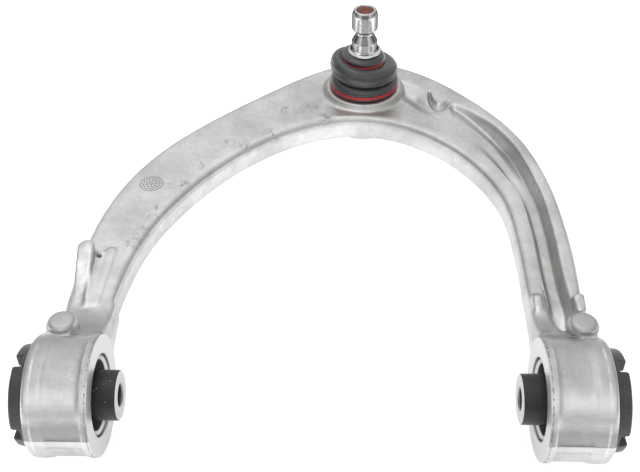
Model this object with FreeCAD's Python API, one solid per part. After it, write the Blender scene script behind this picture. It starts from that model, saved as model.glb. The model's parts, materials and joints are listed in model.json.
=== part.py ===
"""Forged aluminium control arm with two coaxial rubber bushes and an integral ball joint.

Frame: X along the bush axis, +Y from the bushes towards the ball joint, +Z up along the
ball stud. The origin is the middle of the bush axis. All lengths are in millimetres.
"""

import FreeCAD, Part
import math
import os

# ---- hard points -------------------------------------------------------------------
BALL_X = 27.5             # ball centre, sideways from the middle of the bush axis
BALL_Y = 297.0            # ball centre, ahead of the bush axis
BALL_RADIUS = 13.5

# ---- bush barrels ------------------------------------------------------------------
BARREL_IN = 120.2         # |X| of the machined inner face
BARREL_OUT = 155.5        # |X| of the outer face
BARREL_RADIUS = 34.2
BARREL_WAIST = 33.2       # radius between the two flanges
INNER_FLANGE = 4.0
OUTER_FLANGE = 10.5
BORE_RADIUS = 23.1
SEAM_HALF = 2.8           # half height of the trimmed seam land round the barrel

# ---- forged body -------------------------------------------------------------------
ARM_TOP = 9.5
ARM_BOTTOM = -9.5
EDGE_RADIUS = 4.0
LEG_ROOT_Y = 14.0         # the legs run this far into the barrels
FLARE_START_RADIUS = 32.4  # the flare from barrel to leg starts just under the barrel's skin
FLARE_START = math.radians(49)
FLARE_END_Y = 64.0        # where the flare is level with the leg
OUTER_LEFT = [(-153, LEG_ROOT_Y), (-153, 60), (-152, 112), (-140, 174), (-109, 231), (-52, 290), (-7, 327)]
OUTER_APEX = [(27, 340), (60, 331)]
OUTER_RIGHT = [(103, 294), (135.5, 246), (151.5, 195), (156.5, 145), (156, 80), (153, 42), (152.5, LEG_ROOT_Y)]
INNER_EDGE = [(-122.5, LEG_ROOT_Y), (-122.5, 82), (-113, 128), (-87, 181), (-49, 226), (-15, 249),
              (22, 258), (54, 250), (84, 228), (108, 194), (119, 164), (122.5, 130),
              (122.5, 60), (122.5, LEG_ROOT_Y)]

# channel in the +X leg: pairs of points, inner rib edge and outer rib edge
CHANNEL_PAIRS = [((139, 35), (147, 37)), ((133.5, 54), (147, 56)), ((133, 90), (147, 88)),
                 ((133, 130), (148, 136)), ((131, 164), (145.5, 176)), ((122, 191), (137, 219)),
                 ((108, 219), (122, 248)), ((91, 242), (106, 267)), ((80, 256), (96, 275))]
CHANNEL_FLOOR = -0.5
CHANNEL_DRAFT = 2.6
FLARE_HEADROOM = 20.0     # the channel also runs up through the flare at the leg's root
CHANNEL_RAMPS = [((98, 250.5), (122, 257.3)), ((104, 228), (120, 192))]
# at its upper end the channel's floor climbs from the second point of each ramp to the first

# pocket under the -X leg: pairs of points, outer wall edge and inner wall edge
POCKET_PAIRS = [((-144, 62), (-131, 62)), ((-143, 108), (-129, 96)), ((-131, 171), (-112, 151)),
                ((-101, 224), (-79, 203)), ((-62, 268), (-45, 243)), ((-27, 296), (-15, 268))]
POCKET_FLOOR = 1.5
POCKET_DRAFT = 2.2

# ---- small forged features ---------------------------------------------------------
CLAMP_BOSS = [(-145.0, 31.0), (146.5, 33.0)]
CLAMP_BOSS_RADIUS = 8.2
CLAMP_BOSS_TOP = 28.0
CLAMP_BOSS_FILLET = 2.2
EAR_LINE = [(-147.5, 103.5), (-146.5, 84), (-141, 50)]
EAR_WIDTH = 10.4
EAR_TOP = 19.0
EAR_HOLE = (-140.4, 103.0)
EAR_HOLE_RADIUS = 1.6
PAD_LINE = [(-133.8, 108), (-135.8, 62)]
PAD_WIDTH = 6.0
PAD_HEIGHT = 1.2
RIGHT_PADS = [(127.5, 64.0, 5.5, 13.0, 2.2), (151.5, 61.5, 7.0, 14.0, 4.5)]
CRESCENT_OUTER = [(76.0, 296), (76.2, 284), (79.0, 274.5), (84.0, 270.8), (89.0, 273.0), (92.0, 277.6)]
CRESCENT_TONGUE = [(90.6, 281.4), (88.4, 280.6), (85.8, 280.0), (82.6, 281.6), (80.4, 287), (79.6, 294)]
CRESCENT_FLOOR = 4.8
WEB_RECESS = [(57, 304), (74.5, 297.5), (72.6, 283), (75.4, 270.5), (87.5, 254), (58, 281)]
WEB_RECESS_DEPTH = 2.0

# ---- ball joint housing ------------------------------------------------------------
BOSS_BASE_RADIUS = 31.6
BOSS_RADIUS = 29.4
BOSS_TOP = 14.0
BOSS_BOTTOM = -20.4
COLLAR_RADIUS = 21.5
COLLAR_TOP = 20.5
SEAT_BORE = 17.0
SEAT_TOP = 9.5
SEAT_BOTTOM = -14.6
RING_PAD_THICK = 1.4
CAP_RADIUS = 18.2
CAP_THICK = 2.2
SEAT_CLEARANCE = 0.05
LIP_RADIUS_LOW = 13.4     # throat of the housing at the seat's top
LIP_RADIUS_HIGH = 18.9    # throat at the top of the collar

# ---- ball stud ---------------------------------------------------------------------
STUD_RADIUS = 9.5
STUD_TOP = 78.0
GROOVE_LOW = 53.2         # the cone under the groove starts here
GROOVE_HIGH = 63.4        # the upper land starts here
GROOVE_RADIUS = 6.3
CROWN_HEIGHT = 3.2        # rounded shoulder under the stud's top face
FLANGE_LOW = 43.6
FLANGE_HIGH = 46.0
FLANGE_RADIUS = 12.3
NECK_RADIUS = 7.2

# ---- boot and its rings ------------------------------------------------------------
BOOT_GAP = 0.3
BOOT_BASE = BOSS_TOP + BOOT_GAP
LOWER_RING_Z = 17.4
UPPER_RING_Z = 37.4

# ---- bushes: distances are |X| ------------------------------------------------------
SLEEVE_IN = 109.9
SLEEVE_OUT = 163.0
SLEEVE_RADIUS = 13.95
SLEEVE_BORE = 6.1
SLEEVE_FIT = 0.05
CAN_IN = 121.4
CAN_OUT = 153.0
CAN_RADIUS = 22.0
CAN_WALL = 1.8
CAN_LIP_RADIUS = 19.8     # the rolled-in end of the can
INTERLEAF_IN = 130.0
INTERLEAF_OUT = 147.0
INTERLEAF_RADIUS = 17.6
STOP_RADIUS = 28.5
STOP_BORE = 18.5
STOP_BASE_OUT = 158.6
STOP_LUG_OUT = 163.6
LUG_COUNT = 4
LUG_GAP_DEG = 15.0
LUG_DEPTH = 9.0

X_AXIS = FreeCAD.Vector(1, 0, 0)
Z_AXIS = FreeCAD.Vector(0, 0, 1)
ORIGIN = FreeCAD.Vector(0, 0, 0)


# ---- helpers -----------------------------------------------------------------------
def vec(x, y, z=0.0):
    return FreeCAD.Vector(x, y, z)


def spline(points, z=0.0):
    """One smooth edge through plan points at height z."""
    curve = Part.BSplineCurve()
    curve.interpolate([vec(x, y, z) for x, y in points])
    return curve.toShape()


def line(a, b, z=0.0):
    return Part.LineSegment(vec(a[0], a[1], z), vec(b[0], b[1], z)).toShape()


def slab(edges, bottom, top):
    """A plate between two heights, whose outline is a closed loop of plan edges at z = 0."""
    face = Part.Face(Part.Wire(edges))
    face.translate(vec(0, 0, bottom))
    return face.extrude(vec(0, 0, top - bottom))


def spin(profile, axis_point, axis):
    """A full turn of a closed profile, given as 3D points, about an axis."""
    wire = Part.makePolygon(profile + [profile[0]])
    return Part.Face(wire).revolve(axis_point, axis, 360)


def spin_z(profile, centre=(BALL_X, BALL_Y)):
    """Turn (radius, z) points about the vertical line through centre."""
    points = [vec(centre[0] + radius, centre[1], z) for radius, z in profile]
    return spin(points, vec(centre[0], centre[1]), Z_AXIS)


def spin_x(profile, side):
    """Turn (|x|, radius) points about the bush axis, on the +X (1) or -X (-1) side."""
    points = [vec(side * along, 0, radius) for along, radius in profile]
    return spin(points, ORIGIN, X_AXIS)


def edges_at(shape, z, tolerance=0.01):
    """Edges that lie wholly at one height."""
    found = []
    for edge in shape.Edges:
        box = edge.BoundBox
        if abs(box.ZMin - z) < tolerance and abs(box.ZMax - z) < tolerance:
            found.append(edge)
    return found


def merge(base, *others):
    return base.fuse(list(others)).removeSplitter()


def export(shape, name):
    solids = shape.Solids
    if not solids or not shape.isValid():
        raise ValueError(name + " is not a valid solid")
    result = solids[0] if len(solids) == 1 else Part.makeCompound(solids)
    result.exportStep(os.path.join("parts", name + ".step"))
    print(name, len(solids), "solid", round(result.Volume / 1000, 2), "cm3")


# ---- forging -----------------------------------------------------------------------
def arch():
    """The flat arch: two legs and the wide bow that joins them."""
    outer = spline(OUTER_LEFT + OUTER_APEX + OUTER_RIGHT)
    inner = spline(INNER_EDGE)
    left_root = line(OUTER_LEFT[0], INNER_EDGE[0])
    right_root = line(OUTER_RIGHT[-1], INNER_EDGE[-1])
    plate = slab([outer, right_root, inner, left_root], ARM_BOTTOM, ARM_TOP)
    rims = edges_at(plate, ARM_TOP) + edges_at(plate, ARM_BOTTOM)
    long_rims = [edge for edge in rims if edge.Length > 100]
    return plate.makeFillet(EDGE_RADIUS, long_rims)


def trough_wire(pairs, inset, z):
    """Outline that follows both edges of a trough, moved inwards by inset."""
    near_side = []
    far_side = []
    for near, far in pairs:
        width = math.hypot(far[0] - near[0], far[1] - near[1])
        step = ((far[0] - near[0]) / width * inset, (far[1] - near[1]) / width * inset)
        near_side.append([near[0] + step[0], near[1] + step[1]])
        far_side.append([far[0] - step[0], far[1] - step[1]])
    for side in (near_side, far_side):
        side[0][1] += inset
    edges = [spline(near_side, z), line(near_side[-1], far_side[-1], z),
             spline(far_side, z), line(near_side[0], far_side[0], z)]
    return Part.Wire(Part.__sortEdges__(edges))


def trough(pairs, draft, floor, brim, headroom=0.0):
    """Tapered cutter, wide at the brim and narrow at the floor, with upright headroom above the brim."""
    low = trough_wire(pairs, draft, floor)
    high = trough_wire(pairs, 0.0, brim)
    cutter = Part.makeLoft([low, high], True, True)
    if headroom:
        cutter = cutter.fuse(Part.Face(high).extrude(vec(0, 0, headroom)))
    return cutter


def ramp_block(ramp, floor, brim):
    """Everything below a slope that falls from brim to floor between two plan points."""
    (high_x, high_y), (low_x, low_y) = ramp
    run = math.hypot(low_x - high_x, low_y - high_y)
    block = Part.makeBox(2 * run, 200, 60, vec(-run, -100, -60))
    block.rotate(ORIGIN, vec(0, 1, 0), math.degrees(math.atan2(brim - floor, run)))
    block.rotate(ORIGIN, Z_AXIS, math.degrees(math.atan2(low_y - high_y, low_x - high_x)))
    block.translate(vec(high_x, high_y, brim))
    return block


def barrel(side):
    """Barrel round one bush: two flanges, a lower waist and the trimmed seam at the front."""
    inner_shoulder = BARREL_IN + INNER_FLANGE
    outer_shoulder = BARREL_OUT - OUTER_FLANGE
    chamfer = 0.8
    shell = spin_x([(BARREL_IN, 0), (BARREL_IN, BARREL_RADIUS - chamfer), (BARREL_IN + chamfer, BARREL_RADIUS),
                    (inner_shoulder, BARREL_RADIUS), (inner_shoulder + 1.5, BARREL_WAIST),
                    (outer_shoulder - 1.5, BARREL_WAIST), (outer_shoulder, BARREL_RADIUS),
                    (BARREL_OUT - 2 * chamfer, BARREL_RADIUS), (BARREL_OUT, BARREL_RADIUS - 2 * chamfer),
                    (BARREL_OUT, 0)], side)
    width = BARREL_OUT - BARREL_IN - INNER_FLANGE
    seam = Part.makeBox(width, 10, 2 * SEAM_HALF, vec(0, -BARREL_RADIUS, -SEAM_HALF))
    seam.translate(vec(inner_shoulder if side > 0 else -inner_shoulder - width, 0, 0))
    return merge(shell, seam)


def root_flare(side):
    """Swept root between a barrel and its leg: thick at the barrel, level at the leg."""
    x_in = INNER_EDGE[-1][0]
    x_out = -OUTER_LEFT[0][0] - 0.5
    start = (FLARE_START_RADIUS * math.cos(FLARE_START), FLARE_START_RADIUS * math.sin(FLARE_START))
    end = (FLARE_END_Y, ARM_TOP - 0.3)
    middle = (38.0, 15.0)
    halves = []
    for up in (1, -1):
        arc = Part.Arc(vec(x_in, start[0], up * start[1]), vec(x_in, middle[0], up * middle[1]),
                       vec(x_in, end[0], up * end[1])).toShape()
        low = Part.LineSegment(vec(x_in, end[0], up * end[1]), vec(x_in, end[0], 0)).toShape()
        back = Part.LineSegment(vec(x_in, end[0], 0), vec(x_in, start[0], 0)).toShape()
        rise = Part.LineSegment(vec(x_in, start[0], 0), vec(x_in, start[0], up * start[1])).toShape()
        face = Part.Face(Part.Wire([arc, low, back, rise]))
        halves.append(face.extrude(vec(x_out - x_in, 0, 0)))
    flare = merge(*halves)
    crests = [edge for edge in flare.Edges if edge.Curve.TypeId == "Part::GeomCircle"]
    flare = flare.makeFillet(EDGE_RADIUS - 0.2, crests)
    if side < 0:
        flare = flare.mirror(ORIGIN, X_AXIS)
    return flare


def clamp_boss(centre):
    """Round pad behind a barrel, on which the forging is held for machining."""
    post = Part.makeCylinder(CLAMP_BOSS_RADIUS, CLAMP_BOSS_TOP, vec(centre[0], centre[1], 0))
    return post.makeFillet(CLAMP_BOSS_FILLET, edges_at(post, CLAMP_BOSS_TOP))


def rib(points, width, bottom, top):
    """Upright rib of constant width that follows a plan line, with round ends."""
    pieces = []
    for x, y in points:
        pieces.append(Part.makeCylinder(width / 2, top - bottom, vec(x, y, bottom)))
    for a, b in zip(points, points[1:]):
        run = math.hypot(b[0] - a[0], b[1] - a[1])
        bar = Part.makeBox(run, width, top - bottom, vec(0, -width / 2, 0))
        bar.rotate(ORIGIN, Z_AXIS, math.degrees(math.atan2(b[1] - a[1], b[0] - a[0])))
        bar.translate(vec(a[0], a[1], bottom))
        pieces.append(bar)
    return merge(*pieces)


def ear():
    """Raised ear on the -X leg: high at its far end, with a saddle falling to the barrel."""
    blade = rib(EAR_LINE, EAR_WIDTH, 0.0, EAR_TOP)
    far_y = EAR_LINE[0][1] - 4
    saddle = Part.Face(Part.Wire([
        Part.Arc(vec(-170, far_y, EAR_TOP), vec(-170, far_y - 14, 13.5), vec(-170, 44, 11.0)).toShape(),
        Part.LineSegment(vec(-170, 44, 11.0), vec(-170, 30, 11.0)).toShape(),
        Part.LineSegment(vec(-170, 30, 11.0), vec(-170, 30, 40)).toShape(),
        Part.LineSegment(vec(-170, 30, 40), vec(-170, far_y, 40)).toShape(),
        Part.LineSegment(vec(-170, far_y, 40), vec(-170, far_y, EAR_TOP)).toShape()]))
    return blade.cut(saddle.extrude(vec(60, 0, 0)))


def small_pads():
    """Ejector pads on both legs."""
    pads = [rib(PAD_LINE, PAD_WIDTH, 0.0, ARM_TOP + PAD_HEIGHT)]
    for x, y, width, length, height in RIGHT_PADS:
        pad = Part.makeBox(width, length, ARM_TOP + height, vec(x - width / 2, y - length / 2, 0))
        uprights = [edge for edge in pad.Edges if edge.BoundBox.ZLength > 5]
        pads.append(pad.makeFillet(1.8, uprights))
    return pads


def ball_housing():
    """Solid round boss at the apex, before its bore is machined."""
    return spin_z([(0, BOSS_BOTTOM), (24.0, BOSS_BOTTOM), (25.4, BOSS_BOTTOM + 1.4), (28.6, ARM_BOTTOM),
                   (BOSS_BASE_RADIUS, 0), (BOSS_BASE_RADIUS, ARM_TOP), (BOSS_RADIUS, ARM_TOP + 2.2),
                   (BOSS_RADIUS - 0.5, BOSS_TOP - 0.6), (BOSS_RADIUS - 1.1, BOSS_TOP),
                   (COLLAR_RADIUS, BOSS_TOP), (COLLAR_RADIUS, COLLAR_TOP - 0.6),
                   (COLLAR_RADIUS - 0.6, COLLAR_TOP), (0, COLLAR_TOP)])


def ball_bore():
    """Everything machined out of the housing: throat, seat bore, cap seat and rolled edge."""
    cap_top = SEAT_BOTTOM - RING_PAD_THICK
    cap_bottom = cap_top - CAP_THICK
    return spin_z([(0, COLLAR_TOP + 5), (LIP_RADIUS_HIGH, COLLAR_TOP + 5), (LIP_RADIUS_HIGH, COLLAR_TOP),
                   (LIP_RADIUS_LOW, SEAT_TOP), (SEAT_BORE, SEAT_TOP), (SEAT_BORE, cap_top),
                   (CAP_RADIUS, cap_top), (CAP_RADIUS, cap_bottom), (CAP_RADIUS - 2.0, cap_bottom - 0.8),
                   (CAP_RADIUS - 2.0, BOSS_BOTTOM - 5), (0, BOSS_BOTTOM - 5)])


def arm_forging():
    body = merge(arch(), barrel(-1), barrel(1), root_flare(-1), root_flare(1), ball_housing())
    channel = trough(CHANNEL_PAIRS, CHANNEL_DRAFT, CHANNEL_FLOOR, ARM_TOP + 1, FLARE_HEADROOM)
    ramps = [ramp_block(ramp, CHANNEL_FLOOR, ARM_TOP) for ramp in CHANNEL_RAMPS]
    channel = channel.cut(ramps[0].common(ramps[1]))
    pocket = trough(POCKET_PAIRS, POCKET_DRAFT, POCKET_FLOOR, ARM_BOTTOM - 1)
    crescent_edges = [spline(CRESCENT_OUTER), line(CRESCENT_OUTER[-1], CRESCENT_TONGUE[0]),
                      spline(CRESCENT_TONGUE), line(CRESCENT_TONGUE[-1], CRESCENT_OUTER[0])]
    crescent = slab(crescent_edges, CRESCENT_FLOOR, ARM_TOP + 1)
    corners = WEB_RECESS + [WEB_RECESS[0]]
    recess_edges = [line(a, b) for a, b in zip(corners, corners[1:])]
    web_recess = slab(recess_edges, ARM_TOP - WEB_RECESS_DEPTH, ARM_TOP + 8)
    housing_guard = Part.makeCylinder(BOSS_BASE_RADIUS, 60, vec(BALL_X, BALL_Y, -30))
    body = body.cut([channel, pocket, crescent, web_recess.cut(housing_guard)])
    additions = [clamp_boss(centre) for centre in CLAMP_BOSS]
    additions += [ear()] + small_pads()
    body = merge(body, *additions)
    bores = [Part.makeCylinder(BORE_RADIUS, 60, vec(side * 100, 0, 0), vec(side, 0, 0)) for side in (-1, 1)]
    ear_hole = Part.makeCylinder(EAR_HOLE_RADIUS, 7, vec(EAR_HOLE[0], EAR_HOLE[1], ARM_TOP - 5))
    return body.cut(bores + [ball_bore(), ear_hole])


# ---- bushes ------------------------------------------------------------------------
def bush_can(side):
    """Pressed steel can, its inner end rolled in over the rubber."""
    inside = CAN_RADIUS - CAN_WALL
    return spin_x([(CAN_IN, CAN_RADIUS - 0.6), (CAN_IN + 0.6, CAN_RADIUS), (CAN_OUT, CAN_RADIUS),
                   (CAN_OUT, inside), (CAN_IN + 3.4, inside), (CAN_IN + 2.6, CAN_LIP_RADIUS),
                   (CAN_IN + 1.2, CAN_LIP_RADIUS)], side)


def bush_rubber(side):
    """Bonded rubber: between can and sleeve, and folded over the can as a press-in skin."""
    inside = CAN_RADIUS - CAN_WALL
    bond = SLEEVE_RADIUS + SLEEVE_FIT
    body = spin_x([(CAN_IN + 0.4, CAN_RADIUS + 0.3), (CAN_IN + 0.9, BORE_RADIUS), (BARREL_OUT, BORE_RADIUS),
                   (BARREL_OUT, inside - 1.0), (BARREL_OUT - 5.0, bond + 2.6), (BARREL_OUT - 4.0, bond),
                   (CAN_IN + 5.0, bond), (CAN_IN + 6.2, bond + 1.2), (CAN_IN + 7.0, CAN_LIP_RADIUS - 1.0),
                   (CAN_IN + 3.8, inside), (CAN_OUT, inside), (CAN_OUT, CAN_RADIUS),
                   (CAN_IN + 0.4, CAN_RADIUS)], side)
    return body.cut(bush_interleaf(side))


def bush_interleaf(side):
    """Thin stiffening tube buried in the rubber."""
    inner = INTERLEAF_RADIUS - 1.0
    return spin_x([(INTERLEAF_IN, inner), (INTERLEAF_IN, INTERLEAF_RADIUS),
                   (INTERLEAF_OUT, INTERLEAF_RADIUS), (INTERLEAF_OUT, inner)], side)


def bush_sleeve(side):
    """Thick inner sleeve that the bracket bolt clamps."""
    edge = 0.7
    mouth = 0.9
    return spin_x([(SLEEVE_IN, SLEEVE_BORE + mouth), (SLEEVE_IN, SLEEVE_RADIUS - edge),
                   (SLEEVE_IN + edge, SLEEVE_RADIUS), (SLEEVE_OUT - edge, SLEEVE_RADIUS),
                   (SLEEVE_OUT, SLEEVE_RADIUS - edge), (SLEEVE_OUT, SLEEVE_BORE + mouth),
                   (SLEEVE_OUT - mouth, SLEEVE_BORE), (SLEEVE_IN + mouth, SLEEVE_BORE)], side)


def stop_plate(side):
    """Flat steel washer moulded into the end stop."""
    return spin_x([(BARREL_OUT + 1.0, STOP_BORE + 1.5), (BARREL_OUT + 1.0, STOP_RADIUS - 1.5),
                   (BARREL_OUT + 2.2, STOP_RADIUS - 1.5), (BARREL_OUT + 2.2, STOP_BORE + 1.5)], side)


def end_stop(side):
    """Castellated rubber ring that limits the bush's travel along its axis."""
    ring = spin_x([(BARREL_OUT, STOP_BORE), (BARREL_OUT, STOP_RADIUS - 0.4), (BARREL_OUT + 0.4, STOP_RADIUS),
                   (STOP_LUG_OUT - 0.8, STOP_RADIUS - 0.6), (STOP_LUG_OUT, STOP_RADIUS - 1.4),
                   (STOP_LUG_OUT, STOP_RADIUS - LUG_DEPTH), (STOP_BASE_OUT, STOP_RADIUS - LUG_DEPTH),
                   (STOP_BASE_OUT, STOP_BORE)], side)
    half_gap = STOP_RADIUS * math.sin(math.radians(LUG_GAP_DEG / 2))
    depth = STOP_LUG_OUT - STOP_BASE_OUT + 1
    gaps = []
    for index in range(LUG_COUNT):
        gap = Part.makeBox(depth, 2 * half_gap, 40, vec(0, -half_gap, 0))
        gap.translate(vec(STOP_BASE_OUT if side > 0 else -STOP_BASE_OUT - depth, 0, 0))
        gap.rotate(ORIGIN, X_AXIS, index * 360 / LUG_COUNT)
        gaps.append(gap)
    return ring.cut(gaps + [stop_plate(side)])


# ---- ball joint --------------------------------------------------------------------
def ball_stud():
    """Ball, tapered shank, seating flange and the grooved pin that the pinch bolt locks."""
    shank = spin_z([(0, 0), (NECK_RADIUS, 0), (NECK_RADIUS, 20.0), (STUD_RADIUS - 0.6, 31.0),
                    (STUD_RADIUS - 0.6, FLANGE_LOW), (FLANGE_RADIUS - 0.5, FLANGE_LOW),
                    (FLANGE_RADIUS, FLANGE_LOW + 0.5), (FLANGE_RADIUS, FLANGE_HIGH - 0.9),
                    (FLANGE_RADIUS - 1.0, FLANGE_HIGH), (STUD_RADIUS, FLANGE_HIGH + 0.6),
                    (STUD_RADIUS, GROOVE_LOW), (GROOVE_RADIUS, GROOVE_LOW + 5.8),
                    (GROOVE_RADIUS, GROOVE_HIGH - 2.6), (STUD_RADIUS - 1.0, GROOVE_HIGH - 1.0),
                    (STUD_RADIUS, GROOVE_HIGH), (STUD_RADIUS, STUD_TOP - CROWN_HEIGHT),
                    (STUD_RADIUS - 1.1, STUD_TOP - 0.8), (STUD_RADIUS - 2.0, STUD_TOP), (6.2, STUD_TOP),
                    (5.6, STUD_TOP - 0.8), (4.2, STUD_TOP - 1.1), (3.6, STUD_TOP - 1.9), (0, STUD_TOP - 2.3)])
    ball = Part.makeSphere(BALL_RADIUS, vec(BALL_X, BALL_Y, 0))
    flat = Part.makeBox(40, 40, 10, vec(BALL_X - 20, BALL_Y - 20, -BALL_RADIUS - 9.0))
    return merge(ball.cut(flat), shank)


def ball_seat():
    """Plastic cup round the ball, open at the top for the shank."""
    body = spin_z([(0, SEAT_BOTTOM), (SEAT_BORE - 0.6, SEAT_BOTTOM), (SEAT_BORE, SEAT_BOTTOM + 0.6),
                   (SEAT_BORE, SEAT_TOP), (12.9, SEAT_TOP), (11.9, 6.0), (0, 6.0)])
    hollow = Part.makeSphere(BALL_RADIUS + SEAT_CLEARANCE, vec(BALL_X, BALL_Y, 0))
    return body.cut(hollow)


def preload_ring():
    """Elastic ring that presses the seat against the ball."""
    top = SEAT_BOTTOM
    bottom = SEAT_BOTTOM - RING_PAD_THICK
    return spin_z([(10.5, bottom), (SEAT_BORE - 0.4, bottom), (SEAT_BORE - 0.4, top), (10.5, top)])


def closing_cap():
    """Pressed disc that closes the housing, with a shallow dish."""
    top = SEAT_BOTTOM - RING_PAD_THICK
    bottom = top - CAP_THICK
    return spin_z([(0, bottom + 0.9), (8.5, bottom + 0.9), (9.6, bottom), (CAP_RADIUS - 0.6, bottom),
                   (CAP_RADIUS, bottom + 0.6), (CAP_RADIUS, top), (9.0, top), (8.0, top - 0.6), (0, top - 0.6)])


def dust_boot():
    """Rubber boot: clamped base, small fold, large bulge, ring groove and sealing lip."""
    base_bore = COLLAR_RADIUS + BOOT_GAP
    lip_bore = STUD_RADIUS - 0.6 + BOOT_GAP
    outside = [(25.9, BOOT_BASE), (25.9, 16.0), (24.6, 16.5), (24.6, 18.3), (25.6, 18.8), (25.6, 20.4),
               (24.4, 22.4), (21.6, 24.4), (23.9, 26.2), (25.3, 28.6), (25.2, 31.8), (23.6, 35.2),
               (20.6, 37.4), (17.6, 37.2), (16.4, 36.0), (13.9, 35.9), (13.9, 38.7), (15.8, 39.6),
               (16.3, 41.2), (14.6, 42.6), (12.6, FLANGE_LOW - BOOT_GAP)]
    inside = [(lip_bore, FLANGE_LOW - BOOT_GAP), (lip_bore, 35.6), (12.4, 33.8), (16.8, 34.2),
              (20.0, 35.2), (22.0, 33.8), (23.4, 31.4), (23.5, 29.0), (22.2, 27.2), (19.6, 25.2),
              (19.6, 23.6), (22.4, 21.6), (22.8, 20.9), (base_bore, 20.8), (base_bore, BOOT_BASE)]
    return spin_z(outside + inside)


def boot_support():
    """Steel ring moulded into the boot's base, tight on the housing collar."""
    return spin_z([(23.0, BOOT_BASE + 1.0), (24.0, BOOT_BASE + 1.0), (24.0, 19.4), (23.0, 19.4)])


def wire_ring(centre_radius, z, wire_radius):
    """Closed ring of round wire about the stud axis."""
    return Part.makeTorus(centre_radius, wire_radius, vec(BALL_X, BALL_Y, z))


def main():
    os.makedirs("parts", exist_ok=True)
    export(arm_forging(), "arm_forging")
    for side, name in ((1, "front"), (-1, "rear")):
        export(bush_can(side), name + "_bush_can")
        export(bush_rubber(side), name + "_bush_rubber")
        export(bush_interleaf(side), name + "_bush_interleaf")
        export(bush_sleeve(side), name + "_bush_sleeve")
        export(end_stop(side), name + "_bush_end_stop")
        export(stop_plate(side), name + "_bush_stop_plate")
    export(ball_stud(), "ball_stud")
    export(ball_seat(), "ball_seat")
    export(preload_ring(), "seat_preload_ring")
    export(closing_cap(), "closing_cap")
    support = boot_support()
    export(dust_boot().cut(support), "dust_boot")
    export(support, "boot_support_ring")
    export(wire_ring(25.8, LOWER_RING_Z, 0.85), "boot_lower_ring")
    export(wire_ring(15.0, UPPER_RING_Z, 0.75), "boot_upper_ring")


main()
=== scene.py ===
"""Looks of a forged aluminium suspension control arm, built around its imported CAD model.

Blender's objects are in metres in the model's own frame: X along the bush axis, +Y towards the
ball joint, +Z up along the ball stud, origin in the middle of the bush axis. Sizes are written in
mm: points_of, set_points and the gaps work in mm, and MM or scaled turns the rest into metres.
"""
import functools
import json
import math

import bmesh
import bpy
import numpy as np
from mathutils import Matrix, Vector


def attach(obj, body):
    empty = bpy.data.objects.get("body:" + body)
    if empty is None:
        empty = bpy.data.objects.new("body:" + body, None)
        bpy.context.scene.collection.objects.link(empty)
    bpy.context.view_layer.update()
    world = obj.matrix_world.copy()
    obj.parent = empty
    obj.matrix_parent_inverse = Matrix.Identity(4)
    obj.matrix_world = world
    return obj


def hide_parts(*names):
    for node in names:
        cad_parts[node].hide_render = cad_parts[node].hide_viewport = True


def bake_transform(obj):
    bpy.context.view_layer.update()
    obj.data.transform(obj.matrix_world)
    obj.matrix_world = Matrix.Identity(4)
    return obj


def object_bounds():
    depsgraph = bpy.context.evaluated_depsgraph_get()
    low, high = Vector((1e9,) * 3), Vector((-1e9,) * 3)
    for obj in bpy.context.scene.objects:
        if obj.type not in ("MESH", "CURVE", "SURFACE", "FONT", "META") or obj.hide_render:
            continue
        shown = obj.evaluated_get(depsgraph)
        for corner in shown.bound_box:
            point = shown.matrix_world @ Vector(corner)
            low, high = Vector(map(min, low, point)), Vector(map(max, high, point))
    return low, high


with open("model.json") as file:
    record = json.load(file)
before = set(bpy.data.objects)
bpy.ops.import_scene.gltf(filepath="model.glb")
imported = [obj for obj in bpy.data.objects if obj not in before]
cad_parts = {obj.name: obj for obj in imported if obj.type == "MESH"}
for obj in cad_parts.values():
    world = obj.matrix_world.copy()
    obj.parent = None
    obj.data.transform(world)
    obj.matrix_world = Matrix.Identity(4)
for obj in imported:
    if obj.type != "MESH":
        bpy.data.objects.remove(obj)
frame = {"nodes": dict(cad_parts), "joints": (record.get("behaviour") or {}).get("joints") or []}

CAD_BOX = [list(corner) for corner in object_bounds()]
MM = 0.001

# ---- places read from the model ------------------------------------------------------
BALL = Vector(next(j["pos_m"] for j in frame["joints"] if j["name"] == "stud_spin"))
STUD_FOOT = (BALL.x, BALL.y, 0)
UP = (0, 0, 1)

# ---- sizes and places on the forging, all in mm --------------------------------------
FACE_X = 120.2               # machined inner face of each barrel
OUTER_X = 155.5              # outer face of each barrel
BARREL_R = 34.2
BORE_R = 23.1
HOUSING_FLOOR = 20.4         # depth of the ball housing's flat underside
WEB_TOP = 9.4                # the flat top of both legs
CLAMP_BOSSES = [(-145.0, 31.0), (146.5, 33.0)]
CLAMP_TOP = 28.0
EAR_HOLE = (-140.4, 103.0)   # the small hole beside the ear
STAMP_PLACE = (-119.0, 178.0)
SEAM_HEIGHT = 2.9            # the die seam on the front of each barrel
# painted highlights along the barrels' flange edges, on their fronts
FLANGE_HIGHLIGHTS = [(123.9, 0.45), (150.9, 0.55)]      # |x| and brightness of the barrels' light lines
# rubbed marks (x, y and reach) and pits (x, y) on the top of the legs
SMUDGES = [(-110.8, 152.8, 5.0), (-96.4, 178.0, 6.0), (-116.7, 127.0, 9.0), (-121.0, 117.5, 8.0),
           (-88.8, 199.0, 6.0), (-11.8, 272.9, 9.0), (-2.0, 259.0, 8.0), (-30.0, 268.0, 9.0),
           (-70.0, 226.0, 8.0), (-40.0, 240.0, 11.0), (-60.0, 222.0, 9.0), (-112.0, 142.0, 7.0)]
PITS = [(45.0, 267.5), (49.9, 267.5), (-96.4, 178.5), (-124.5, 113.5)]
PIT_REACH = 0.8
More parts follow.
